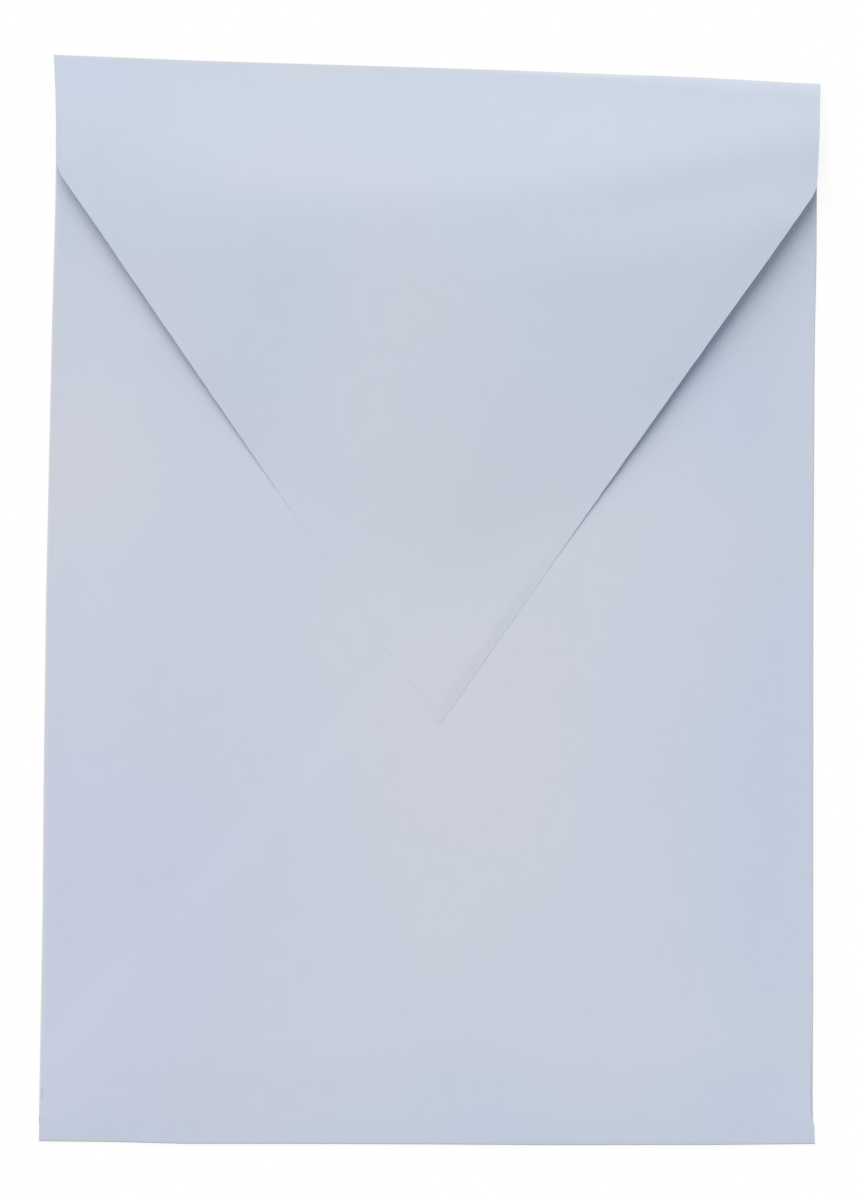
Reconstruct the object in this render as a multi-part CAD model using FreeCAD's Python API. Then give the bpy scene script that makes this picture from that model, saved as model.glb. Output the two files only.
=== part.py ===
"""A paper envelope, folded from one die-cut sheet and lying on its front with its flap up.

The sheet is a cross. Its middle is the front panel, which lies face down. Two side flaps fold in over
it, the bottom flap folds up over them and is glued to them, and the long pointed top flap folds down over
all three. Its point is held by a dab of gum and its shoulders spring up, the right one more than the left.

+X is across the envelope, +Y runs up to the top fold and +Z is up, with the origin on the surface that the
envelope lies on, under the middle of it.
"""

import FreeCAD
import Part

import math
import os

from FreeCAD import Vector

# The sheet and the pocket that it makes
paper = 0.16
panel_width = 133.35
panel_height = 184.15
pocket_gap = 0.5
# Where two folds meet, the sheet is notched. Past the notch the rounded side folds draw the sides in a
# little. The top flap is as wide as they are, and the bottom flap is cut to clear them
corner_notch = 4.0
side_draw_in = 0.4
flap_clearance = 0.2
shoulder_radius = 3.0
# The top flap, from its fold to its shoulders and to its point, which was cut a little right of the middle
top_flap_depth = 113.0
top_shoulder = 19.6
top_point_radius = 1.2
top_point_offset = 0.7
# The bottom flap: how far the top flap's point lies over its own, and its shoulders from its fold
point_overlap = 20.35
bottom_shoulder = 18.0
bottom_point_radius = 10.0
# The side flaps, which end bluntly on each side of the middle
side_flap_gap = 9.0
side_end_width = 19.0
side_end_radius = 6.0
# How the top flap springs up from its fold. The fold is rolled to one slope all along, and eases from there
# to the slope that it has at each side. Then come its highest point and, from the fold, where it lands
top_fold_radius = 0.6
rolled_slope = 30.0
easing_radius = 3.0
left_spring_angle = 11.0
left_crest_height = 2.7
left_landing = 78.0
right_spring_angle = 24.0
right_crest_height = 4.5
right_landing = 88.0
touchdown_length = 16.0
# The dab of gum under the point
gum_film = 0.08
gum_radius = 4.0
gum_from_point = 8.7

# The layers, counted up from the surface
side_flap_level = paper + pocket_gap
bottom_flap_level = side_flap_level + paper
top_flap_level = bottom_flap_level + paper + gum_film
side_fold_radius = (side_flap_level + paper) / 2
bottom_fold_radius = (bottom_flap_level + paper) / 2
top_fold_turn = math.pi - math.radians(rolled_slope)

half_width = panel_width / 2
top_fold_y = panel_height / 2
bottom_fold_y = -panel_height / 2
folded_half_width = half_width - side_draw_in
flat_half_width = folded_half_width - side_fold_radius
bottom_flap_half_width = flat_half_width - flap_clearance
bottom_flap_depth = panel_height - top_flap_depth + point_overlap
notch_bottom_y = bottom_fold_y + corner_notch
notch_top_y = top_fold_y - corner_notch
panel_top_y = top_fold_y - top_fold_radius
panel_bottom_y = bottom_fold_y + bottom_fold_radius


def outline(corners):
    """A closed flat wire through corners (x, y, radius), each rounded as far as its two sides allow."""
    edges = []
    count = len(corners)
    ends = []
    for i, (x, y, radius) in enumerate(corners):
        here = Vector(x, y, 0)
        back = Vector(*corners[i - 1][:2], 0) - here
        ahead = Vector(*corners[(i + 1) % count][:2], 0) - here
        half_turn = back.getAngle(ahead) / 2
        cut = min(radius / math.tan(half_turn), 0.45 * back.Length, 0.45 * ahead.Length)
        back.normalize()
        ahead.normalize()
        start, end = here + back * cut, here + ahead * cut
        middle = here
        if cut:
            inwards = (back + ahead).normalize()
            rounding = cut * math.tan(half_turn)
            middle = here + inwards * (rounding / math.sin(half_turn) - rounding)
        ends.append((start, middle, end))
    for i, (start, middle, end) in enumerate(ends):
        if start.distanceToPoint(end) > 0:
            edges.append(Part.Arc(start, middle, end).toShape())
        edges.append(Part.LineSegment(end, ends[(i + 1) % count][0]).toShape())
    return Part.Wire(edges)


def plate(corners, level, thickness):
    """A flat piece of paper of that outline, lying at that level."""
    face = Part.Face(outline(corners))
    face.translate(Vector(0, 0, level))
    return face.extrude(Vector(0, 0, thickness))


def mirrored(right, *point):
    """The corners of a shape that is the same on both sides, from its right side and its point, if any."""
    return [*right, *point, *((-x, y, radius) for x, y, radius in reversed(right))]


def crossing_y():
    """How far up the top flap's edges cross the bottom flap's."""
    top_slope = (top_flap_depth - top_shoulder) / folded_half_width
    bottom_slope = (bottom_flap_depth - bottom_shoulder) / bottom_flap_half_width
    from_side = (panel_height - top_shoulder - bottom_shoulder) / (top_slope + bottom_slope)
    return bottom_fold_y + bottom_shoulder + bottom_slope * from_side


def front_panel():
    """The middle of the sheet, which keeps its full width past the ends of the side folds."""
    right = [
        (half_width, panel_bottom_y, 0),
        (folded_half_width, notch_bottom_y, 0),
        (flat_half_width, notch_bottom_y, 0),
        (flat_half_width, notch_top_y, 0),
        (folded_half_width, notch_top_y, 0),
        (half_width, panel_top_y, 0),
    ]
    return plate(mirrored(right), 0, paper)


def half_roll(radius, length, start, along, outwards):
    """Paper turned back on itself: half a tube from start, running along and bulging outwards."""
    tube = Part.makeCylinder(radius, length, start, along)
    bore = Part.makeCylinder(radius - paper, length, start, along)
    side = 2 * length + 2 * radius
    keep = Part.makeBox(side, side, side, Vector(-side / 2, -side / 2, -side / 2))
    keep.translate(start + outwards * (side / 2))
    return tube.cut(bore).common(keep)


def side_flap(side):
    """One side flap with its fold: side is +1 on the right and -1 on the left."""
    middle_y = crossing_y()
    end_x = side_flap_gap / 2
    flap = plate(
        [
            (side * flat_half_width, notch_bottom_y, 0),
            (side * end_x, middle_y - side_end_width / 2, side_end_radius),
            (side * end_x, middle_y + side_end_width / 2, side_end_radius),
            (side * flat_half_width, notch_top_y, 0),
        ],
        side_flap_level,
        paper,
    )
    fold = half_roll(
        side_fold_radius,
        notch_top_y - notch_bottom_y,
        Vector(side * flat_half_width, notch_bottom_y, side_fold_radius),
        Vector(0, 1, 0),
        Vector(side, 0, 0),
    )
    return flap.fuse(fold)


def bottom_flap():
    """The bottom flap with its fold. Its underside lies on the side flaps, which it is glued to."""
    right = [
        (half_width, panel_bottom_y, 0),
        (bottom_flap_half_width, notch_bottom_y, 0),
        (bottom_flap_half_width, bottom_fold_y + bottom_shoulder, shoulder_radius),
    ]
    corners = mirrored(right, (0, bottom_fold_y + bottom_flap_depth, bottom_point_radius))
    fold = half_roll(
        bottom_fold_radius,
        panel_width,
        Vector(-half_width, panel_bottom_y, bottom_fold_radius),
        Vector(1, 0, 0),
        Vector(0, -1, 0),
    )
    return plate(corners, bottom_flap_level, paper).fuse(fold)


def section(x, place, heading, turns):
    """The paper in section at x: a closed wire from place (y, z) on its outer face, through the turns.

    Each is (radius, angle), with left positive, or (None, length) for a straight run.
    """
    place = Vector(x, *place)
    outer, inner = [], []
    start = Part.LineSegment(place + left_of(heading) * paper, place).toShape()
    for radius, turn in turns:
        if radius is None:
            there = place + left_of(heading - math.pi / 2) * turn
            across = left_of(heading) * paper
            outer.append(Part.LineSegment(place, there).toShape())
            inner.append(Part.LineSegment(place + across, there + across).toShape())
            place = there
            continue
        middle, there = (bent(place, heading, radius, turn * share) for share in (0.5, 1))
        across = [left_of(heading + turn * share) * paper for share in (0, 0.5, 1)]
        outer.append(Part.Arc(place, middle, there).toShape())
        inner.append(Part.Arc(place + across[0], middle + across[1], there + across[2]).toShape())
        place, heading = there, heading + turn
    end = Part.LineSegment(place, place + left_of(heading) * paper).toShape()
    return Part.Wire([start, *outer, end, *reversed(inner)])


def left_of(heading):
    """The unit vector to the left of a heading, which is measured from +Y towards +Z."""
    return Vector(0, -math.sin(heading), math.cos(heading))


def bent(place, heading, radius, turn):
    """Where a bend of that radius and turn leads from place."""
    return place + (left_of(heading) - left_of(heading + turn)) * math.copysign(radius, turn)


def sprung_section(x, spring_angle, crest_height, landing):
    """The top flap in section at x, from the end of its roll: easing, rise, fall, touchdown and flat end."""
    spring = math.radians(spring_angle)
    place = bent(Vector(0, panel_top_y, 0), 0, top_fold_radius, top_fold_turn)
    eased = bent(place, top_fold_turn, easing_radius, math.pi - spring - top_fold_turn)
    rise_radius = (crest_height - eased.z) / (1 - math.cos(spring))
    crest_y = eased.y - rise_radius * math.sin(spring)
    fall_run = crest_y - (top_fold_y - landing)
    fall = 2 * math.atan((crest_height - top_flap_level - paper) / fall_run)
    turns = [
        (easing_radius, math.pi - spring - top_fold_turn),
        (rise_radius, spring),
        ((fall_run - touchdown_length) / math.sin(fall), fall),
        (touchdown_length / math.sin(fall), -fall),
        (None, top_flap_depth + shoulder_radius - landing),
    ]
    return section(x, (place.y, place.z), top_fold_turn, turns)


def top_flap():
    """The top flap with its fold: a sheet ruled between its two side sections, then cut to its outline."""
    roll = section(-half_width, (panel_top_y, 0), 0, [(top_fold_radius, top_fold_turn)])
    fold = Part.Face(roll).extrude(Vector(panel_width, 0, 0))
    left = sprung_section(-half_width, left_spring_angle, left_crest_height, left_landing)
    right = sprung_section(half_width, right_spring_angle, right_crest_height, right_landing)
    sheet = Part.makeLoft([left, right], True, True)
    corner = [
        (half_width, top_fold_y + top_fold_radius, 0),
        (half_width, notch_top_y, 0),
        (folded_half_width, top_fold_y - top_shoulder, shoulder_radius),
    ]
    corners = mirrored(corner, (top_point_offset, top_fold_y - top_flap_depth, top_point_radius))
    highest = left_crest_height + right_crest_height
    return sheet.common(plate(corners, -paper, highest + 2 * paper)).fuse(fold)


def gum():
    """The dried dab that holds the top flap's point down on the bottom flap."""
    point_y = top_fold_y - top_flap_depth
    middle = Vector(top_point_offset, point_y + gum_from_point, top_flap_level - gum_film)
    return Part.makeCylinder(gum_radius, gum_film, middle)


def envelope():
    """The whole folded sheet as one solid."""
    pieces = [side_flap(1), side_flap(-1), bottom_flap(), top_flap(), gum()]
    return front_panel().fuse(pieces).removeSplitter()


os.makedirs("parts", exist_ok=True)
folded = envelope()
folded.exportStep("parts/envelope.step")
box = folded.BoundBox
print(f"solids {len(folded.Solids)}, valid {folded.isValid()}, faces {len(folded.Faces)}")
print(f"volume {folded.Volume:.1f} mm3, size {box.XLength:.2f} x {box.YLength:.2f} x {box.ZLength:.2f} mm")
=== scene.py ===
# %% [markdown]
# # A paper envelope, made from its flat sheet
#
# A real envelope starts as a flat cross of paper. A die trims it, a machine folds the side arms in and gums
# the bottom arm on to them, and the long pointed arm becomes the flap. This scene goes the same way: it lays
# out the cross, trims it, folds it with the flap sprung up, and only then gives the paper its thickness and
# its finish. Built like this, every fold and every overlap falls where it does on the real thing.
#
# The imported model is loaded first, because every size below has to agree with it.

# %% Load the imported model
import math

import bmesh
import bpy
import numpy as np
from mathutils import Matrix, Vector, noise


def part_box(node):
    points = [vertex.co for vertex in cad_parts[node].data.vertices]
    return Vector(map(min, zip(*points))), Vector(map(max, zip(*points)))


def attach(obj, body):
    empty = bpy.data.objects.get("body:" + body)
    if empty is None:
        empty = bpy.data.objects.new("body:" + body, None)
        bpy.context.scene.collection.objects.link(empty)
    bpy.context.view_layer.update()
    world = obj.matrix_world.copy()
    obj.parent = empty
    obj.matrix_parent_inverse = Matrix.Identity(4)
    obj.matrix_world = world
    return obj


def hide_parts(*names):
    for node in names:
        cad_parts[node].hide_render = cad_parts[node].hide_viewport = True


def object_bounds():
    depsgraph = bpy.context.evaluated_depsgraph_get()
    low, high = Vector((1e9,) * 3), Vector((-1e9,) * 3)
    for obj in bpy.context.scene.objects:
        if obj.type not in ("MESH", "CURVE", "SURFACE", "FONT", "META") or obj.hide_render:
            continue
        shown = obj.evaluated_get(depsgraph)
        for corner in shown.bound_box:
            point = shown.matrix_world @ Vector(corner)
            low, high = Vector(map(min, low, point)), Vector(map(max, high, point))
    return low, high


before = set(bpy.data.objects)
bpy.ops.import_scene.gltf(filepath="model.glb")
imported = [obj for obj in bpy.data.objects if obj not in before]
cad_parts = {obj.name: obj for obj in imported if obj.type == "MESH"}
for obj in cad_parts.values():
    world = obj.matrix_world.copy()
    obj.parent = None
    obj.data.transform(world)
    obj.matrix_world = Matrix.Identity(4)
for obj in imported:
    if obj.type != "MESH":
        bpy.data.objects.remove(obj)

cad_low, cad_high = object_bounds()
cad_size = [round(1000 * c, 2) for c in cad_high - cad_low]
print("packed nodes:", sorted(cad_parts), "box in mm:", cad_size)

# %% [markdown]
# ## Sizes
#
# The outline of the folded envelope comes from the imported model. The other sizes are the paper's own and the
# flaps' own. Paper is modelled here as the surface half way through its thickness, so a fold's radius is the
# radius of that middle surface. Places closer than a hair count as the same place.

# %% Sizes
MM = 0.001
hair = 0.001 * MM
low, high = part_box("envelope")
half_width, top_y, bottom_y = high.x, high.y, low.y

paper = 0.16 * MM
crease_gap = 0.08 * MM
seam_gap = 0.012 * MM
side_radius = (crease_gap + paper) / 2
bottom_radius = side_radius
top_radius = 0.15 * MM

side_draw_in = 0.4 * MM
notch = 4 * MM
folded_half_width = half_width - side_draw_in
fold_half_width = folded_half_width - side_radius - paper / 2
panel_bottom_y = bottom_y + bottom_radius + paper / 2
panel_top_y = top_y - top_radius - paper / 2
panel_length = panel_top_y - panel_bottom_y
print("the front panel is flat for", round(panel_length / MM, 2), "mm between its end folds")

# %% [markdown]
# ## The middle of the cross
#
# The front panel is a grid, because the paper will have to bend slightly all over. Two extra rows of edges
# are cut across it near its ends: the side arms stop there, and the little ears beyond them keep their full
# width. Each face remembers the arm that it belongs to in an integer layer, so that an arm can be trimmed and
# folded without touching the rest.

# %% The middle of the cross
PANEL, LEFT, RIGHT, BOTTOM, TOP = range(5)
cross = bmesh.new()
arm_of = cross.faces.layers.int.new("arm")
crease_wear_and_painted_light = cross.verts.layers.float.new("crease_wear_and_painted_light")
centre = Vector((0, (panel_top_y + panel_bottom_y) / 2, 0))
spread = Matrix.Translation(centre) @ Matrix.Diagonal((2 * fold_half_width, panel_length, 1, 1))
bmesh.ops.create_grid(cross, x_segments=60, y_segments=84, size=0.5, matrix=spread)
notch_rows = (bottom_y + notch, top_y - notch)
snap = hair / 10
for row_y in notch_rows:
    everything = cross.verts[:] + cross.edges[:] + cross.faces[:]
    bmesh.ops.bisect_plane(cross, geom=everything, dist=snap, plane_co=(0, row_y, 0), plane_no=(0, 1, 0))
print("panel:", len(cross.faces), "faces, x to", round(max(v.co.x for v in cross.verts) / MM, 2), "mm")

# %% [markdown]
# ## The four arms
#
# An arm grows out of the panel's open edges strip by strip. The first strips are narrow, because they will
# wrap round the fold, and a fold needs many small steps. The others are about as long as the panel's own
# squares. The ears are the short strips beyond the ends of the side arms, where the sheet keeps its full
# width. Extruding numbers the new points in no fixed order, so the cross is sorted once it is whole.

# %% The four arms
FOLD_STRIPS = 10
beside_fold = 0.8 * MM
arm_step = 2.2 * MM
top_arm_step = 1.8 * MM


def open_edges(test):
    """The cross's open edges whose two ends both pass the test."""
    return [e for e in cross.edges if e.is_boundary and all(test(v.co) for v in e.verts)]


def middle_y(edge):
    return (edge.verts[0].co.y + edge.verts[1].co.y) / 2


def grow(edges, outwards, lengths, arm):
    """Extrudes strips of these lengths from open edges, each from the last one's far side."""
    for length in lengths:
        made = bmesh.ops.extrude_edge_only(cross, edges=edges)["geom"]
        fresh = {g for g in made if isinstance(g, bmesh.types.BMVert)}
        bmesh.ops.translate(cross, verts=list(fresh), vec=Vector(outwards) * length)
        for face in (g for g in made if isinstance(g, bmesh.types.BMFace)):
            face[arm_of] = arm
        edges = [g for g in made if isinstance(g, bmesh.types.BMEdge) and fresh.issuperset(g.verts)]


def strip_lengths(fold, reach, step):
    """Narrow strips for a fold, a short one beside it, and even ones near step for the rest of the arm."""
    even = reach - beside_fold
    count = math.ceil(even / step)
    return [fold / FOLD_STRIPS] * FOLD_STRIPS + [beside_fold] + [even / count] * count


half_side_gap = 4.5 * MM
side_reach = fold_half_width - half_side_gap
for arm, side in ((LEFT, -1), (RIGHT, 1)):
    at_side = open_edges(lambda p: p.x * side > fold_half_width - hair)
    along_arm = [e for e in at_side if notch_rows[0] < middle_y(e) < notch_rows[1]]
    ears = [e for e in at_side if e not in along_arm]
    grow(ears, (side, 0, 0), [half_width - fold_half_width], PANEL)
    grow(along_arm, (side, 0, 0), strip_lengths(math.pi * side_radius, side_reach, arm_step), arm)

bottom_reach = 92 * MM
at_bottom = open_edges(lambda p: p.y < panel_bottom_y + hair)
grow(at_bottom, (0, -1, 0), strip_lengths(math.pi * bottom_radius, bottom_reach, arm_step), BOTTOM)

top_reach = 115 * MM
at_top = open_edges(lambda p: p.y > panel_top_y - hair)
grow(at_top, (0, 1, 0), strip_lengths(math.pi * top_radius, top_reach, top_arm_step), TOP)


def rank(place):
    """Ranks places by their rows from the bottom up, and within a row from the left."""
    return place.y + place.x / 1e5


cross.verts.sort(key=lambda v: rank(v.co))
cross.edges.sort(key=lambda e: rank((e.verts[0].co + e.verts[1].co) / 2))
cross.faces.sort(key=lambda f: rank(f.calc_center_median()))


def spans():
    """How far the sheet reaches across and along, in mm."""
    points = np.array([v.co for v in cross.verts])
    return [round(float(span) / MM, 1) for span in np.ptp(points, axis=0)[:2]]


print("the untrimmed cross is", spans(), "mm across and along, with", len(cross.faces), "faces")

# %% [markdown]
# ## How to trim an arm
#
# A die cuts the whole outline in one stroke. Here each straight cut is a plane that bisects one arm and
# throws away what lies beyond it. Every arm is convex, so a rounded corner is simply a few more planes that
# touch the same small circle. That keeps the outline clean, and the grid inside it stays even. Each straight
# cut also gets three rows of edges inside it, because some cut edges are pressed thinner later on.

# %% How to trim an arm
PRESSED_STRIP = {LEFT: 1.5 * MM, RIGHT: 1.5 * MM, BOTTOM: 6 * MM, TOP: 2 * MM}
STRIP_ROWS = 3
CORNER_CUTS = 5
cut_lines = {arm: [] for arm in PRESSED_STRIP}


def bisect(arm, point, outwards, drops_outside):
    """Splits an arm's faces along the line through a point. What lies outwards of it stays or is dropped."""
    faces = [f for f in cross.faces if f[arm_of] == arm]
    edges = [e for e in cross.edges if any(f[arm_of] == arm for f in e.link_faces)]
    verts = [v for v in cross.verts if any(f[arm_of] == arm for f in v.link_faces)]
    bmesh.ops.bisect_plane(
        cross, geom=verts + edges + faces, dist=snap,
        plane_co=point, plane_no=outwards, clear_outer=drops_outside,
    )


def left_of(start, end):
    """The flat unit vector to the left of the direction from start to end."""
    along = end - start
    return Vector((-along.y, along.x, 0)).normalized()


def trim_path(arm, path, straight_cuts):
    """Trims an arm along a clockwise path of (x, y, radius). The flags say which of its runs are cut."""
    points = [Vector((x, y, 0)) for x, y, radius in path]
    outwards = [left_of(start, end) for start, end in zip(points, points[1:])]
    for k, is_cut in enumerate(straight_cuts):
        if is_cut:
            bisect(arm, points[k], outwards[k], drops_outside=True)
            cut_lines[arm].append((points[k], outwards[k]))
            for row in range(1, STRIP_ROWS + 1):
                inset = outwards[k] * PRESSED_STRIP[arm] * (row / STRIP_ROWS)
                bisect(arm, points[k] - inset, outwards[k], drops_outside=False)
    for k, corner in enumerate(points[1:-1], start=1):
        radius, before, after = path[k][2], outwards[k - 1], outwards[k]
        if not radius:
            continue
        middle = corner - (before + after) * (radius / (1 + before.dot(after)))
        for turn in range(1, CORNER_CUTS + 1):
            normal = before.lerp(after, turn / (CORNER_CUTS + 1)).normalized()
            bisect(arm, middle + normal * radius, normal, drops_outside=True)


# %% [markdown]
# ## The side arms and the ears
#
# The side arms taper from the notches to blunt ends that will stop a little short of each other in the
# middle. The ears taper too, from the full width at the end folds down to the width over the side folds.

# %% The side arms and the ears
crossing_y = -9 * MM
blunt_end = 19 * MM
blunt_corner = 6 * MM
taper_x = fold_half_width + math.pi * side_radius
for arm, side in ((LEFT, -1), (RIGHT, 1)):
    path = [
        (side * taper_x, notch_rows[0], 0),
        (side * (taper_x + side_reach), crossing_y - blunt_end / 2, blunt_corner),
        (side * (taper_x + side_reach), crossing_y + blunt_end / 2, blunt_corner),
        (side * taper_x, notch_rows[1], 0),
    ]
    trim_path(arm, path[::-1] if side > 0 else path, (True, False, True))
for point in cross.verts:
    beyond_notch = max(notch_rows[0] - point.co.y, point.co.y - notch_rows[1])
    is_on_panel = all(f[arm_of] == PANEL for f in point.link_faces)
    if is_on_panel and beyond_notch > -hair and abs(point.co.x) > fold_half_width + hair:
        limit = folded_half_width + (half_width - folded_half_width) * min(beyond_notch / notch, 1)
        point.co.x = math.copysign(limit, point.co.x)
print("side arms:", sum(f[arm_of] in (LEFT, RIGHT) for f in cross.faces), "faces")

# %% [markdown]
# ## The bottom arm
#
# The bottom arm covers the ears and steps in past the notches, to clear the side folds. That step is a hollow
# corner, which a plane would cut too deep, so the arm's outermost points are moved in there and the planes
# cut only the point.

# %% The bottom arm
side_clearance = 0.2 * MM
bottom_half_width = fold_half_width - side_clearance
bottom_flat_start = panel_bottom_y - math.pi * bottom_radius


def on_bottom_arm(x, folded_y, radius=0):
    """A corner of the folded bottom flap, as it lies on the flat cross."""
    return x, bottom_flat_start - (folded_y - panel_bottom_y), radius


for point in {v for f in cross.faces if f[arm_of] == BOTTOM for v in f.verts}:
    past_fold = min(max((bottom_flat_start - point.co.y) / notch, 0), 1)
    limit = half_width - side_draw_in * past_fold if past_fold < 1 else bottom_half_width
    point.co.x = max(-limit, min(limit, point.co.x))

bottom_shoulder = 18 * MM
shoulder_radius = 3 * MM
bottom_flap_depth = 91.5 * MM
bottom_point_radius = 10 * MM
shoulder_y = bottom_y + bottom_shoulder
bottom_path = [
    on_bottom_arm(bottom_half_width, bottom_y + notch),
    on_bottom_arm(bottom_half_width, shoulder_y, shoulder_radius),
    on_bottom_arm(0, bottom_y + bottom_flap_depth, bottom_point_radius),
    on_bottom_arm(-bottom_half_width, shoulder_y, shoulder_radius),
    on_bottom_arm(-bottom_half_width, bottom_y + notch),
]
trim_path(BOTTOM, bottom_path, (False, True, True, False))
print("bottom arm:", sum(f[arm_of] == BOTTOM for f in cross.faces), "faces")

# %% [markdown]
# ## Where the top flap rests
#
# Where the top flap lies flat it rests on the side flaps, and climbs on to the bottom flap's point. The
# bottom flap's cut edge is squeezed to a fifth of the paper's thickness, so the climb starts low.

# %% Where the top flap rests
squeezed = 0.2
side_flap_z = paper / 2 + 2 * side_radius
bottom_flap_z = side_flap_z + paper + seam_gap
bottom_edge_slope = (bottom_flap_depth - bottom_shoulder) / bottom_half_width
edge_climb = 1.5 * MM
resting_gap = 0.008 * MM


def smooth(share):
    """Goes from 0 to 1 with a soft start and end."""
    share = min(max(share, 0), 1)
    return share * share * (3 - 2 * share)


def resting_z(x, y):
    """The middle of the top flap's paper where it lies on the flaps below it."""
    edge_y = shoulder_y + bottom_edge_slope * (bottom_half_width - abs(x))
    inside = (edge_y - y) / math.hypot(1, bottom_edge_slope)
    bottom_flap = paper * (squeezed + (1 - squeezed) * smooth(inside / PRESSED_STRIP[BOTTOM]))
    climbed = (bottom_flap + seam_gap) * smooth((inside + edge_climb) / edge_climb)
    return side_flap_z + paper + climbed + resting_gap


print("on the bottom flap the top flap rests", round(resting_z(0, shoulder_y) / MM, 3), "mm up")

# %% [markdown]
# ## How the top flap springs up
#
# A fresh fold in stiff paper never closes. The flap rises from its fold to a crest, comes down again in a
# long even fall, and lies flat towards its point, where a dab of gum holds it. It is highest a little left of
# the middle, and its right side lands later than its left. One height for each distance from the fold says
# all of this. The paper's own length along that curve is added up in small steps, so that the flap isn't
# stretched by its springing.

# %% How the top flap springs up
crest_from_fold = 26 * MM
highest_x = -18 * MM
crest_bow = 2.0
lands_from_fold = 77 * MM
lands_later_at_right = 11 * MM
lands_later_in_middle = 18 * MM

ramp_slope = 0.155
steeper_at_right = 0.015
rounder_at_right = 0.15 * MM
level_run_at_right = 6 * MM
further_rise_at_right = 0.6 * MM

FOLD_ANGLES = 24
FLAP_STEPS = 300
flap_step = 0.4 * MM
courses = {}


def to_right(x):
    """0 over the left side, growing from a little left of the middle to 1 near the right side."""
    return smooth((x + 5 * MM) / (65 * MM))


def spring(x):
    """How far from the fold the crest is at x, how long its bend is, and where the flap lands."""
    crest = crest_from_fold - crest_bow * (x - highest_x) ** 2
    bend = 7 * MM + 10 * MM * smooth((-x - 28 * MM) / (38 * MM))
    in_middle = 1 - smooth(abs(x + 2 * MM) / (30 * MM))
    landing = lands_from_fold + lands_later_at_right * to_right(x) + lands_later_in_middle * in_middle
    return crest, bend, landing


def fallen(share):
    """How far the flap has come down, this far along its fall: an even fall that starts and ends softly."""
    ease = 0.2
    share = min(max(share, 0), 1)
    if share > 0.5:
        return 1 - fallen(1 - share)
    return share ** 2 / (2 * ease * (1 - ease)) if share < ease else (share - ease / 2) / (1 - ease)


def course(x):
    """The flap's course at x: lengths along its paper from the fold's start, and the y and z there."""
    key = round(x, 7)
    if key in courses:
        return courses[key]
    crest, bend, landing = spring(x)
    falls_from = crest + level_run_at_right * to_right(x)
    radius = top_radius + rounder_at_right * to_right(x)
    slope = ramp_slope + steeper_at_right * to_right(x)
    turn = math.pi - math.atan(slope)
    angles = [turn * k / FOLD_ANGLES for k in range(FOLD_ANGLES + 1)]
    rows = [
        (radius * a, panel_top_y + radius * math.sin(a), paper / 2 + radius * (1 - math.cos(a)))
        for a in angles
    ]
    length, start_y, start_z = rows[-1]
    crest_z = start_z + slope * (crest - bend / 2)
    for k in range(1, FLAP_STEPS):
        run = k * flap_step
        y = start_y - run
        rest_z = resting_z(x, y)
        if run < crest:
            left_to_bend = max(run - (crest - bend), 0)
            z = start_z + slope * (run - left_to_bend ** 2 / (2 * bend))
        else:
            risen = further_rise_at_right * to_right(x) * smooth((run - crest) / (12 * MM))
            still_up = 1 - fallen((run - falls_from) / (landing - falls_from))
            z = rest_z + (crest_z + risen - rest_z) * still_up
        length += math.hypot(flap_step, z - rows[-1][2])
        rows.append((length, y, z))
    courses[key] = np.array(rows).T
    return courses[key]


for x in (-half_width, highest_x, half_width):
    lengths, ys, zs = course(x)
    paper_taken = lengths[-1] - lengths[FOLD_ANGLES] - (ys[FOLD_ANGLES] - ys[-1])
    print(f"at x {x / MM:6.1f} mm the flap's crest is {max(zs) / MM:.2f} mm up,",
          f"and its springing takes {paper_taken / MM:.2f} mm of paper")

# %% [markdown]
# ## The top arm
#
# The corners are known on the folded flap: its two shoulders, which aren't quite level, and its point, a
# little right of the middle. The flap's course turns each into a length along the flat arm before the die
# cuts it.

# %% The top arm
top_flap_depth = 113 * MM
point_x = 0.7 * MM


def on_top_arm(x, folded_y, radius=0):
    """A corner of the folded top flap, as it lies on the flat cross."""
    lengths, ys, zs = course(x)
    length = np.interp(-folded_y, -ys[FOLD_ANGLES:], lengths[FOLD_ANGLES:])
    return x, panel_top_y + float(length), radius


top_path = [
    on_top_arm(-66.6 * MM, notch_rows[1]),
    on_top_arm(-66.3 * MM, 72.5 * MM, 6 * MM),
    on_top_arm(point_x, top_y - top_flap_depth, 0.5 * MM),
    on_top_arm(65.75 * MM, 73.0 * MM, 7 * MM),
    on_top_arm(66.45 * MM, notch_rows[1]),
]
trim_path(TOP, top_path, (True, True, True, True))
print("top arm:", sum(f[arm_of] == TOP for f in cross.faces), "faces")

# %% [markdown]
# ## The finished blank
#
# A die leaves a slightly uneven edge, so the border's points move by a few hundredths of a millimetre. The
# cuts left some points almost on top of each other. They are merged arm by arm, because an ear and a side arm
# that only touch along their slit must stay apart. This is the flat sheet, and its size is measured before it
# is folded.

# %% The finished blank
edge_wander = 0.08 * MM
wander_length = 2.5 * MM
for point in cross.verts:
    if point.is_boundary:
        place = point.co / wander_length
        point.co.x += edge_wander * noise.noise(place)
        point.co.y += edge_wander * noise.noise(place + Vector((31, 17, 5)))
for arm in PRESSED_STRIP:
    on_arm_only = [v for v in cross.verts if {f[arm_of] for f in v.link_faces} == {arm}]
    bmesh.ops.remove_doubles(cross, verts=on_arm_only, dist=0.03 * MM)
bmesh.ops.dissolve_degenerate(cross, edges=cross.edges[:], dist=0.01 * MM)
blank_area = sum(f.calc_area() for f in cross.faces)
print("the flat blank is", spans(), "mm across and along,", round(blank_area * 1e4, 1), "cm2 of paper")

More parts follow.
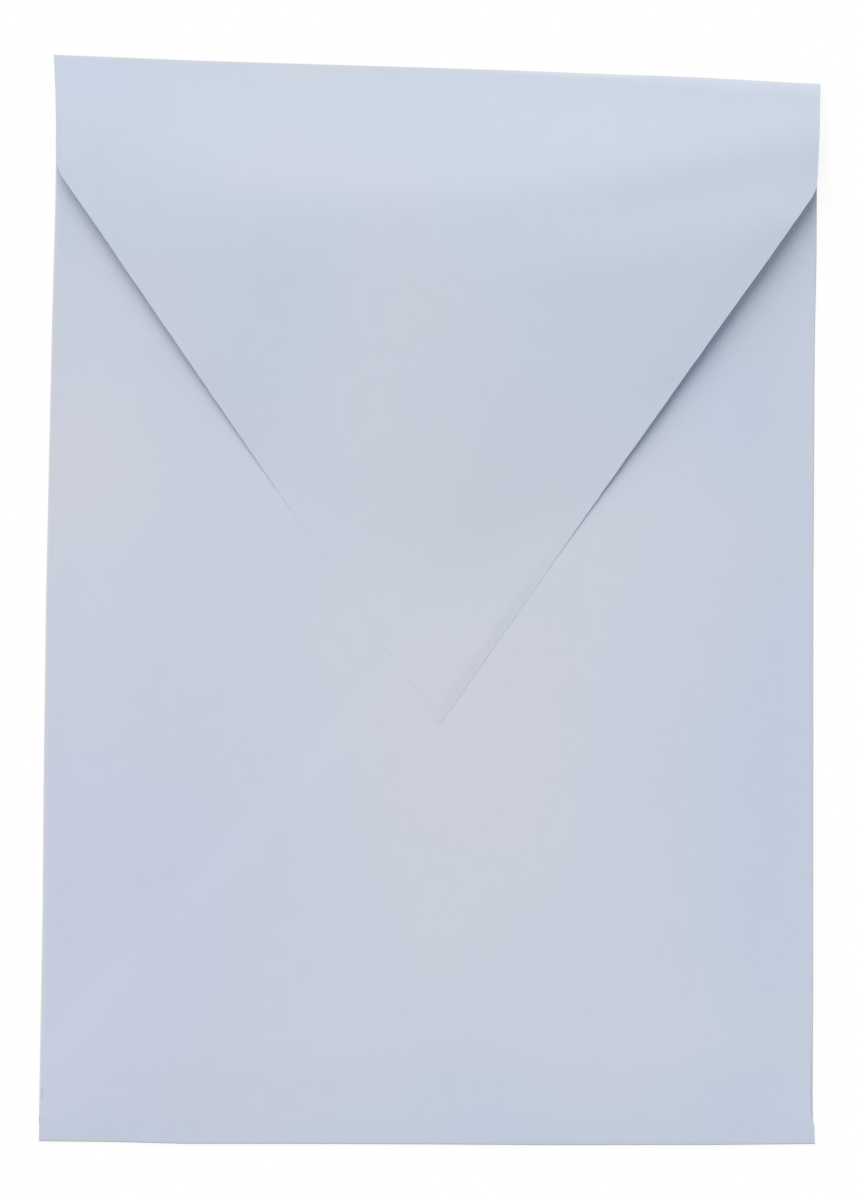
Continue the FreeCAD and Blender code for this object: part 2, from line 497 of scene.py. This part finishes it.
# %% [markdown]
# ## Press the glued edges
#
# Where a flap is glued or lies pressed on the next one, its cut edge is squeezed thinner and hardly shows. A
# vertex group says how thick the paper is at each point: 1 is the full thickness, and it falls to 0, for the
# squeezed thickness, at the cut edges of the bottom flap and of the top flap's lower part. The Solidify
# modifier will read it.

# %% Press the glued edges
weights = cross.verts.layers.deform.verify()
clear_of_fold = 6 * MM
pressed_from_left = 60 * MM
pressed_from_right = 76 * MM
pressing_length = 12 * MM


def inside_cut(point, arm):
    """How far inside its arm's straight cuts a point lies."""
    return min(-(point.co - place).dot(outwards) for place, outwards in cut_lines[arm])


def pressing(point):
    """How hard the paper is pressed at this point of the flat sheet, from 0 to 1."""
    arms = {f[arm_of] for f in point.link_faces}
    if arms == {BOTTOM}:
        along = 1 if point.co.y < bottom_flat_start - clear_of_fold else 0
        return along * (1 - smooth(inside_cut(point, BOTTOM) / PRESSED_STRIP[BOTTOM]))
    if arms == {TOP}:
        start = pressed_from_left if point.co.x < 0 else pressed_from_right
        along = smooth((point.co.y - panel_top_y - start) / pressing_length)
        return along * (1 - smooth(inside_cut(point, TOP) / PRESSED_STRIP[TOP]))
    return 0


for point in cross.verts:
    point[weights][0] = 1 - pressing(point)
print(sum(v[weights][0] < 1 for v in cross.verts), "of", len(cross.verts), "points are pressed")

# %% [markdown]
# ## Fold the sheet
#
# Folding moves each point along a path: round the fold's arc first, and then straight on. The paper's length
# is kept, as it is in real paper. The bottom flap climbs on to the side flaps just past its fold, and the top
# flap's free edges dip a little in places. The folds are marked in an attribute on the way, because the
# finish needs to know where the paper was creased.

# %% Fold the sheet
crease_fade = 0.8 * MM
bottom_climb = 3.5 * MM
free_strip = 5 * MM
ripple_length = 7 * MM
deepest_dip = 0.15 * MM


def rolled(beyond, radius):
    """How far out and up a point lies, this far past the start of a fold that turns right back."""
    angle = min(beyond / radius, math.pi)
    return radius * math.sin(angle) - (beyond - angle * radius), radius * (1 - math.cos(angle))


def crease(beyond, radius):
    """How creased the paper is: 1 in the fold, and fading out on each side of it."""
    outside = max(-beyond, beyond - math.pi * radius, 0)
    return max(1 - outside / crease_fade, 0)


arms_of_point = {v: {f[arm_of] for f in v.link_faces} for v in cross.verts}
for point, arms in arms_of_point.items():
    sink = paper * (1 - squeezed) / 2 * (1 - point[weights][0])
    x, y = point.co.x, point.co.y
    side_beyond = abs(x) - fold_half_width
    is_beside = notch_rows[0] - hair < y < notch_rows[1] + hair
    at_side = crease(side_beyond, side_radius) if is_beside else 0
    at_end = max(crease(panel_bottom_y - y, bottom_radius), crease(y - panel_top_y, top_radius))
    # The crease strength drives a warmer strip in the finish: partly rubbed fibres, partly painted light on
    # the folds' shaded rolls.
    point[crease_wear_and_painted_light] = max(at_side, at_end)
    point.co.z = paper / 2
    if arms & {LEFT, RIGHT} and side_beyond > 0:
        out, up = rolled(side_beyond, side_radius)
        point.co.x = math.copysign(fold_half_width + out, x)
        point.co.z += up
    elif BOTTOM in arms:
        past_fold = panel_bottom_y - y
        out, up = rolled(past_fold, bottom_radius)
        climbed = smooth((past_fold - math.pi * bottom_radius) / bottom_climb)
        point.co.y = panel_bottom_y - out
        point.co.z += up + (bottom_flap_z - side_flap_z) * climbed
    elif TOP in arms:
        lengths, ys, zs = course(x)
        free_edge = 1 - smooth(inside_cut(point, TOP) / free_strip)
        point.co.y = float(np.interp(y - panel_top_y, lengths, ys))
        point.co.z = float(np.interp(y - panel_top_y, lengths, zs))
        free_height = point.co.z - resting_z(x, point.co.y)
        ripple = 0.5 + noise.noise(Vector((point.co.y / ripple_length, 2.3 if x < 0 else 9.1, 0.5)))
        dip = min(deepest_dip, 0.2 * max(free_height, 0))
        point.co.z -= free_edge * dip * min(max(ripple, 0), 1)
    point.co.z -= sink
tallest = max(v.co.z for v in cross.verts)
print("folded:", spans(), "mm across and along,", round(tallest / MM, 2), "mm high")

# %% [markdown]
# ## Let it lie like real paper
#
# Ruler-straight sides and dead flat faces look like plastic. A real envelope's sides wander and its ends bow,
# here by half a millimetre at most. Its pocket stands open by about 0.4 mm between its tight creases, and its
# upper layers lie in very shallow waves. Every layer above the front panel moves by the same wave, so that
# none of them runs into another. Only beside the side creases does the top flap, which is free there, rise
# more than the layers below it.

# %% Let it lie like real paper
LEFT_SIDE = (
    (-92, 0.27), (-90, 0.05), (-88, -0.27), (-83, -0.25), (-55, -0.22), (-30, -0.4), (0, -0.5),
    (45, -0.26), (67, -0.02), (84, -0.05), (93, -0.3),
)
RIGHT_SIDE = (
    (-92, 0.11), (-90, 0.27), (-88, 0.22), (-84, 0.12), (-65, 0.12), (-50, 0.03), (-30, -0.07),
    (0, -0.24), (47, -0.25), (61, -0.02), (67, -0.02), (84, 0.0), (93, 0.1),
)
BOTTOM_END = (
    (-67, 0.17), (-55, 0.05), (-42, -0.27), (-24, -0.27), (0, -0.35), (20, -0.47), (50, -0.42),
    (67, -0.25),
)
TOP_END = (
    (-67, 0.36), (-42, 0.24), (-24, 0.34), (-7, 0.44), (10, 0.49), (28, 0.36), (45, 0.29),
    (56, 0.07), (64, -0.1),
)
pocket_lift = 0.35 * MM
broad_wave = 0.13 * MM
small_wave = 0.02 * MM
opening_length = 16 * MM


def side_shift(x, y):
    """How far a point moves across, from how far the nearer side moves at that height."""
    heights, shifts = zip(*(LEFT_SIDE if x < 0 else RIGHT_SIDE))
    return float(np.interp(y / MM, heights, shifts)) * MM * min(abs(x) / half_width, 1)


def end_shift(x, y):
    """How far a point near an end fold moves along, so that the fold bows a little."""
    at_bottom, at_top = (float(np.interp(x / MM, *zip(*end))) * MM for end in (BOTTOM_END, TOP_END))
    return at_bottom * smooth((-50 * MM - y) / (40 * MM)) + at_top * smooth((y - 72 * MM) / (18 * MM))


def lift(x, y, is_top_flap):
    """How far the layers above the front panel stand up from it: an open pocket between tight creases."""
    from_side = 1 if is_top_flap else smooth((fold_half_width - abs(x)) / opening_length)
    from_ends = smooth((y - bottom_y) / opening_length) * smooth((top_y - y) / opening_length)
    broad = noise.noise(Vector((x / (52 * MM), y / (60 * MM), 3.7)))
    small = noise.noise(Vector((x / (19 * MM), y / (23 * MM), 8.1)))
    return from_side * from_ends * (pocket_lift + broad_wave * broad + small_wave * small)


for point, arms in arms_of_point.items():
    x, y, z = point.co
    above_panel = smooth((z - paper / 2) / (side_flap_z - paper / 2))
    point.co.x += side_shift(x, y)
    point.co.y += end_shift(x, y)
    point.co.z += above_panel * lift(x, y, TOP in arms)

sheet = bpy.data.meshes.new("folded_sheet")
cross.to_mesh(sheet)
cross.free()
sheet.shade_smooth()
envelope = bpy.data.objects.new("folded_sheet", sheet)
bpy.context.scene.collection.objects.link(envelope)
print("the sheet has", len(sheet.polygons), "faces")

# %% [markdown]
# ## Give the paper its thickness
#
# Solidify turns the surface into a sheet of paper, half of the thickness to each side, and puts the rim in a
# material of its own, for the die-cut edge. It is applied at once, so that the finished mesh is plain.

# %% Give the paper its thickness
def applied(piece):
    """Bakes a piece's modifiers into its mesh."""
    bpy.context.view_layer.update()
    evaluated = piece.evaluated_get(bpy.context.evaluated_depsgraph_get())
    finished = bpy.data.meshes.new_from_object(evaluated)
    piece.modifiers.clear()
    piece.data = finished
    return finished


def new_material(name):
    material = bpy.data.materials.new(name)
    material.use_nodes = True
    return material


envelope_paper = new_material("envelope_paper")
cut_edge = new_material("cut_edge")
sheet.materials.append(envelope_paper)
sheet.materials.append(cut_edge)
thickness = envelope.modifiers.new("thickness", "SOLIDIFY")
thickness.thickness = paper
thickness.offset = 0
envelope.vertex_groups.new(name="full_thickness")
thickness.vertex_group = "full_thickness"
thickness.thickness_vertex_group = squeezed
thickness.material_offset_rim = 1
finished_sheet = applied(envelope)
finished_sheet.set_sharp_from_angle(angle=math.radians(50))
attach(envelope, "root")
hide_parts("envelope")
print("the sheet has", len(finished_sheet.polygons), "faces,", [m.name for m in finished_sheet.materials])

# %% [markdown]
# ## The gum under the point
#
# Dried envelope gum is a thin, slightly glossy film. It hardly shows, and only from low down, between the
# point and the bottom flap. A round disc is enough: a circle that is extruded. It sinks into the paper a
# little on both sides.

# %% The gum under the point
gum_from_point = 8.7 * MM
gum_radius = 4 * MM
sunk_below = 0.01 * MM
sunk_above = 0.005 * MM
gum = bmesh.new()
gum_centre = Vector((point_x, top_y - top_flap_depth + gum_from_point, 0))
gum_lift = lift(gum_centre.x, gum_centre.y, True)
gum_low = bottom_flap_z + paper / 2 + gum_lift
lengths, ys, zs = course(gum_centre.x)
gum_high = float(np.interp(-gum_centre.y, -ys, zs)) - paper / 2 + gum_lift
gum_centre.z = gum_low - sunk_below
gum_place = Matrix.Translation(gum_centre)
bmesh.ops.create_circle(gum, cap_ends=True, radius=gum_radius, segments=40, matrix=gum_place)
film = bmesh.ops.extrude_face_region(gum, geom=gum.faces[:])["geom"]
film_top = [g for g in film if isinstance(g, bmesh.types.BMVert)]
bmesh.ops.translate(gum, verts=film_top, vec=(0, 0, gum_high - gum_low + sunk_below + sunk_above))
bmesh.ops.recalc_face_normals(gum, faces=gum.faces[:])
gum_mesh = bpy.data.meshes.new("gum")
gum.to_mesh(gum_mesh)
gum.free()
gum_mesh.shade_smooth()
gum_mesh.set_sharp_from_angle(angle=math.radians(40))
gum_piece = bpy.data.objects.new("gum", gum_mesh)
bpy.context.scene.collection.objects.link(gum_piece)
dried_gum = new_material("dried_gum")
gum_mesh.materials.append(dried_gum)
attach(gum_piece, "root")
print("the gum film is", round((gum_high - gum_low) / MM, 3), "mm thick")

# %% [markdown]
# ## What paper looks like close up
#
# Uncoated paper is matt, with three things to see: the tooth of its surface, at a few tenths of a millimetre,
# the cloudy way its fibres lie, at a few millimetres, and fine streaks where fibres lie side by side. None of
# them is strong. The node group below makes all three from Object coordinates, and puts out a colour, a
# roughness and a height. The sheet's faces and its cut edge both use it, each with its own amounts.

# %% What paper looks like close up
def add_node(tree, kind, place, **settings):
    """Adds a node of that kind and sets its properties and, by their names, its inputs."""
    node = tree.nodes.new(kind)
    node.location = place
    for name, value in settings.items():
        if hasattr(node, name):
            setattr(node, name, value)
        else:
            node.inputs[name.replace("_", " ")].default_value = value
    return node


def feed(tree, socket, value):
    """Gives a socket what it needs: another node's output, or a plain value."""
    if isinstance(value, bpy.types.NodeSocket):
        tree.links.new(value, socket)
    else:
        socket.default_value = value


def add_noise(tree, place, source, size, detail, roughness=0.5):
    """A noise texture whose clouds are about this size, read from a vector."""
    cloud = add_node(tree, "ShaderNodeTexNoise", place, Scale=1 / size, Detail=detail, Roughness=roughness)
    tree.links.new(source, cloud.inputs["Vector"])
    return cloud.outputs["Fac"]


def add_range(tree, place, value, from_range, to_range):
    """Maps a value from one range to another."""
    ramp = add_node(tree, "ShaderNodeMapRange", place)
    tree.links.new(value, ramp.inputs["Value"])
    for name, number in zip(("From Min", "From Max", "To Min", "To Max"), (*from_range, *to_range)):
        ramp.inputs[name].default_value = number
    return ramp.outputs["Result"]


def add_maths(tree, place, operation, first, second):
    """A maths node on two values, each a number or another node's output."""
    maths = add_node(tree, "ShaderNodeMath", place, operation=operation)
    for socket, value in zip(maths.inputs, (first, second)):
        feed(tree, socket, value)
    return maths.outputs["Value"]


def add_mix(tree, place, share, first, second):
    """Mixes two colours. The share and the colours are each a value or another node's output."""
    mix = add_node(tree, "ShaderNodeMix", place, data_type="RGBA")
    for number, value in ((0, share), (6, first), (7, second)):
        feed(tree, mix.inputs[number], value)
    return mix.outputs[2]


def paper_group():
    """The surface of uncoated paper: its colour, roughness and height."""
    group = bpy.data.node_groups.new("uncoated_paper", "ShaderNodeTree")
    for name, kind, number in (
        ("Colour", "NodeSocketColor", (0.5, 0.5, 0.5, 1)),
        ("Cloud", "NodeSocketFloat", 0.02),
        ("Speck", "NodeSocketFloat", 0.02),
        ("Roughness", "NodeSocketFloat", 0.9),
    ):
        group.interface.new_socket(name, in_out="INPUT", socket_type=kind).default_value = number
    group.interface.new_socket("Colour", in_out="OUTPUT", socket_type="NodeSocketColor")
    group.interface.new_socket("Roughness", in_out="OUTPUT", socket_type="NodeSocketFloat")
    group.interface.new_socket("Height", in_out="OUTPUT", socket_type="NodeSocketFloat")
    given = add_node(group, "NodeGroupInput", (-1200, 0))
    result = add_node(group, "NodeGroupOutput", (800, 0))
    place = add_node(group, "ShaderNodeTexCoord", (-1200, -300)).outputs["Object"]
    lengthwise = (0.25, 1, 1)
    streaks = add_node(group, "ShaderNodeMapping", (-1000, -600), Rotation=(0, 0, 0.4), Scale=lengthwise)
    group.links.new(place, streaks.inputs["Vector"])

    tooth = add_noise(group, (-800, 200), place, 0.35 * MM, 4, 0.6)
    cloud = add_noise(group, (-800, -100), place, 3.2 * MM, 3)
    fibre = add_noise(group, (-800, -500), streaks.outputs["Vector"], 0.28 * MM, 2)
    cloud_drift = add_maths(group, (-600, -100), "SUBTRACT", cloud, 0.5)
    cloud_shift = add_maths(group, (-500, -100), "MULTIPLY", cloud_drift, given.outputs["Cloud"])
    speck_drift = add_maths(group, (-600, 200), "SUBTRACT", tooth, 0.5)
    speck_shift = add_maths(group, (-500, 200), "MULTIPLY", speck_drift, given.outputs["Speck"])
    both_shifts = add_maths(group, (-350, 0), "ADD", cloud_shift, speck_shift)
    shade = add_maths(group, (-200, 0), "ADD", both_shifts, 1.0)
    shaded = add_node(group, "ShaderNodeVectorMath", (200, 100), operation="SCALE")
    group.links.new(given.outputs["Colour"], shaded.inputs[0])
    group.links.new(shade, shaded.inputs["Scale"])
    group.links.new(shaded.outputs["Vector"], result.inputs["Colour"])

    rough_shift = add_range(group, (-200, -300), fibre, (0.3, 0.7), (-0.05, 0.05))
    rough = add_maths(group, (200, -200), "ADD", given.outputs["Roughness"], rough_shift)
    group.links.new(rough, result.inputs["Roughness"])
    fibre_relief = add_maths(group, (-200, -500), "MULTIPLY", fibre, 0.6)
    relief = add_maths(group, (0, -500), "ADD", tooth, fibre_relief)
    group.links.new(relief, result.inputs["Height"])
    return group


uncoated_paper = paper_group()
print("paper group:", len(uncoated_paper.nodes), "nodes")

# %% [markdown]
# ## The envelope's paper
#
# The paper is a pale blue-grey. It isn't one even colour: large soft patches drift between a cooler blue
# towards the right side, a lavender towards the lower left, an almost neutral grey in the middle and at the
# left side, and a paler blue on the flap. Along the creases a thin strip is a little warmer: partly the
# rubbed fibres of a fold, and partly painted light that lifts the shade in the folds' rolls. The relief is
# very low, so a Bump node with a distance of a few microns carries it.

# %% The envelope's paper
def place_group(material, colour, cloud, speck, roughness, relief):
    """Puts the paper group and a bump into a material, and feeds its shader."""
    tree = material.node_tree
    shader = tree.nodes["Principled BSDF"]
    shader.inputs["Specular IOR Level"].default_value = 0.25
    group = add_node(tree, "ShaderNodeGroup", (-400, 100))
    group.node_tree = uncoated_paper
    amounts = (("Colour", colour), ("Cloud", cloud), ("Speck", speck), ("Roughness", roughness))
    for name, value in amounts:
        feed(tree, group.inputs[name], value)
    bump = add_node(tree, "ShaderNodeBump", (-200, -200), Strength=1.0, Distance=relief)
    tree.links.new(group.outputs["Height"], bump.inputs["Height"])
    tree.links.new(group.outputs["Colour"], shader.inputs["Base Color"])
    tree.links.new(group.outputs["Roughness"], shader.inputs["Roughness"])
    tree.links.new(bump.outputs["Normal"], shader.inputs["Normal"])


def add_patch(tree, row, colour_below, colour, centre, size, strength):
    """Lays one large soft patch of colour over what is below it."""
    place = add_node(tree, "ShaderNodeTexCoord", (-2200, row)).outputs["Object"]
    offset = add_node(tree, "ShaderNodeVectorMath", (-2000, row), operation="DISTANCE")
    tree.links.new(place, offset.inputs[0])
    offset.inputs[1].default_value = centre
    share = add_range(tree, (-1800, row), offset.outputs["Value"], (0, size), (strength, 0))
    return add_mix(tree, (-1500, row), share, colour_below, colour)


BLUE_GREY = (0.556, 0.612, 0.712, 1)
COOL = (0.535, 0.600, 0.722, 1)
LAVENDER = (0.550, 0.584, 0.720, 1)
NEUTRAL = (0.600, 0.624, 0.696, 1)
PALE = (0.580, 0.636, 0.716, 1)
# The creases' colour: partly rubbed fibres, partly painted light that lifts the shade in the folds' rolls.
RUBBED_AND_PAINTED_LIGHT = (0.580, 0.612, 0.655, 1)
# The cut edge's colour is darker and a little bluer than the paper's faces: painted shade for the shadowed
# edge.
CUT_EDGE_WITH_PAINTED_SHADE = (0.50, 0.57, 0.68, 1)

tree = envelope_paper.node_tree
place = add_node(tree, "ShaderNodeTexCoord", (-2200, 600)).outputs["Object"]
drift = add_noise(tree, (-2000, 600), place, 45 * MM, 1)
drift_share = add_range(tree, (-1800, 600), drift, (0.35, 0.65), (0, 1))
tint = add_mix(tree, (-1500, 600), drift_share, BLUE_GREY, COOL)
tint = add_patch(tree, 300, tint, NEUTRAL, (0.008, -0.022, 0), 75 * MM, 1.0)
tint = add_patch(tree, 150, tint, NEUTRAL, (-0.062, 0.022, 0), 42 * MM, 0.9)
tint = add_patch(tree, 0, tint, LAVENDER, (-0.060, -0.050, 0), 60 * MM, 0.9)
tint = add_patch(tree, -150, tint, COOL, (0.064, -0.032, 0), 48 * MM, 0.9)
tint = add_patch(tree, -300, tint, PALE, (-0.004, 0.052, 0), 60 * MM, 0.9)
# The warmer strip along the creases: partly wear, partly painted light over the folds' shade.
worn_and_lit = add_node(tree, "ShaderNodeAttribute", (-1500, -500), attribute_name="crease_wear_and_painted_light")
patchy = add_noise(tree, (-1500, -700), place, 6 * MM, 2)
patchiness = add_range(tree, (-1300, -500), patchy, (0.3, 0.7), (0.6, 1.0))
worn_and_lit_share = add_maths(tree, (-1200, -300), "MULTIPLY", worn_and_lit.outputs["Fac"], patchiness)
tint = add_mix(tree, (-900, 100), worn_and_lit_share, tint, RUBBED_AND_PAINTED_LIGHT)
place_group(envelope_paper, tint, cloud=0.035, speck=0.03, roughness=0.88, relief=0.004 * MM)
# The rim gets the darker colour: painted shade along the cut edges.
place_group(cut_edge, CUT_EDGE_WITH_PAINTED_SHADE, cloud=0.02, speck=0.10, roughness=0.95, relief=0.01 * MM)

gum_tree = dried_gum.node_tree
gum_shader = gum_tree.nodes["Principled BSDF"]
gum_coordinates = add_node(gum_tree, "ShaderNodeTexCoord", (-1000, 0)).outputs["Object"]
ripple = add_noise(gum_tree, (-800, 0), gum_coordinates, 1.5 * MM, 3)
gum_tint = add_mix(gum_tree, (-400, 200), ripple, (0.50, 0.52, 0.53, 1), (0.60, 0.61, 0.60, 1))
gum_tree.links.new(gum_tint, gum_shader.inputs["Base Color"])
gum_gloss = add_range(gum_tree, (-400, -100), ripple, (0.3, 0.7), (0.3, 0.5))
gum_tree.links.new(gum_gloss, gum_shader.inputs["Roughness"])
print("materials:", [m.name for m in bpy.data.materials if m.users])

# %% [markdown]
# ## Light, floor and background
#
# The object was lit by one big soft source beyond its top edge and a little to the left, with plenty of light
# from all round. A sun lamp with a wide angle and a slightly blue world stand in for them, and the lamp is
# tinted the other way. Together they light a level white surface to just about white, so a colour renders
# about as it is written. Rays from the camera, off a mirror and through glass see plain white behind the
# object: partly the floor's own colour, and partly a plain glow, which leaves a weak shadow.

# %% Light, floor and background
WHITE = (1, 1, 1, 1)
FLOOR_GREY = (0.7, 0.7, 0.7, 1)
KEY_SHARE = 0.5
GLOW_SHARE = 0.88
FILL_TINT = (0.92, 0.99, 1.08)


def add_plain_view(tree, row):
    """1 for the rays that see the plain white background: from the camera, off a mirror, through glass."""
    seen_by = add_node(tree, "ShaderNodeLightPath", (-900, row)).outputs
    mirrored, through_glass = seen_by["Is Glossy Ray"], seen_by["Is Transmission Ray"]
    either = add_maths(tree, (-700, row), "MAXIMUM", mirrored, through_glass)
    return add_maths(tree, (-500, row), "MAXIMUM", seen_by["Is Camera Ray"], either)


def show_either(tree, share, first, second, output):
    """Sends a mix of two shaders to a tree's output: only the second where the share is 1."""
    either = add_node(tree, "ShaderNodeMixShader", (400, 100))
    for socket, source in zip(either.inputs, (share, first, second)):
        tree.links.new(source, socket)
    tree.links.new(either.outputs["Shader"], tree.nodes[output].inputs["Surface"])


key_elevation = math.radians(37)
key_from_left = math.radians(34)
key_direction = Vector((
    -math.cos(key_elevation) * math.sin(key_from_left),
    math.cos(key_elevation) * math.cos(key_from_left),
    math.sin(key_elevation),
))
key = bpy.data.lights.new("key", "SUN")
key.energy = KEY_SHARE * math.pi / math.sin(key_elevation)
key.color = [(1 - (1 - KEY_SHARE) * channel) / KEY_SHARE for channel in FILL_TINT]
key.angle = math.radians(60)
key_lamp = bpy.data.objects.new("key", key)
key_lamp.rotation_euler = key_direction.to_track_quat("Z", "Y").to_euler()
bpy.context.scene.collection.objects.link(key_lamp)

world = bpy.data.worlds.new("studio")
world.use_nodes = True
bpy.context.scene.world = world
world_tree = world.node_tree
around = world_tree.nodes["Background"]
around.inputs["Color"].default_value = (*FILL_TINT, 1)
around.inputs["Strength"].default_value = 1 - KEY_SHARE
backdrop = add_node(world_tree, "ShaderNodeBackground", (0, 200), Color=WHITE, Strength=1.0)
behind = (around.outputs["Background"], backdrop.outputs["Background"])
show_either(world_tree, add_plain_view(world_tree, 400), *behind, "World Output")

floor_bm = bmesh.new()
bmesh.ops.create_grid(floor_bm, x_segments=1, y_segments=1, size=3)
floor_mesh = bpy.data.meshes.new("floor")
floor_bm.to_mesh(floor_mesh)
floor_bm.free()
floor = bpy.data.objects.new("floor", floor_mesh)
floor.location.z = -0.02 * MM
bpy.context.scene.collection.objects.link(floor)

floor_paint = new_material("floor_paint")
floor_mesh.materials.append(floor_paint)
floor_tree = floor_paint.node_tree
matt = floor_tree.nodes["Principled BSDF"]
matt.inputs["Roughness"].default_value = 1
matt.inputs["Specular IOR Level"].default_value = 0
glow = add_node(floor_tree, "ShaderNodeEmission", (0, -300), Color=WHITE, Strength=1.0)
plain_view = add_plain_view(floor_tree, 400)
floor_tint = add_mix(floor_tree, (-200, 0), plain_view, FLOOR_GREY, WHITE)
floor_tree.links.new(floor_tint, matt.inputs["Base Color"])
glow_share = add_maths(floor_tree, (-200, 300), "MULTIPLY", plain_view, GLOW_SHARE)
show_either(floor_tree, glow_share, matt.outputs["BSDF"], glow.outputs["Emission"], "Material Output")
level_white = key.energy * math.sin(key_elevation) / math.pi + 1 - KEY_SHARE
print("a level white surface gets", round(level_white, 3))

# %% [markdown]
# ## The camera
#
# The camera looks down on the envelope from a little to the left of it and a little below its middle. Its
# place and lens come from the outline's four corners and the slight taper of its sides in the picture.

# %% The camera
lens = bpy.data.cameras.new("camera")
lens.lens = 120
lens.sensor_width = 36
lens.clip_start = 0.01
camera = bpy.data.objects.new("camera", lens)
camera.location = (-0.09143, -0.0380, 0.67935)
camera.rotation_euler = [math.radians(a) for a in (3.124, -7.614, 0.638)]
bpy.context.scene.collection.objects.link(camera)
bpy.context.scene.camera = camera
bpy.context.scene.view_settings.view_transform = "Standard"
print("the camera is", round(camera.location.length, 3), "m from the middle of the envelope")
